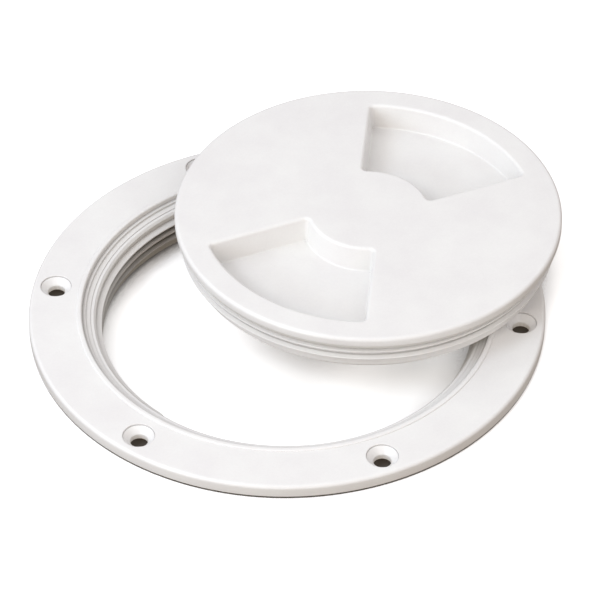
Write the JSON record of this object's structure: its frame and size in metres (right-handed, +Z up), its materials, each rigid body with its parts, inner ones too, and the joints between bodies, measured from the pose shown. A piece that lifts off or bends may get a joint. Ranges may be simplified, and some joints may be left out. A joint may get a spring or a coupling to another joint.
{
  "type": "deck inspection plate",
  "caption": "Round screw-out deck inspection plate: a flanged ring with countersunk screw holes and a threaded collar, its threaded lid unscrewed and resting on it.",
  "frame": {"origin": "on the ring's axis, in the deck plane: the centre of the collar's top end, level with the flange's underside", "axes": "+Z up, out of the deck along the ring's axis; +X to the right and +Y away from the picture's viewer, so the loose lid lies towards +X and +Y"},
  "size_m": [0.214, 0.215, 0.0402],
  "materials": {
    "white_plastic": "satin moulded",
    "seal_rubber": "matte"
  },
  "bodies": {
    "root": {"deck_ring": "white_plastic", "lid": "white_plastic", "seal_ring": "seal_rubber"}
  },
  "joints": []
}
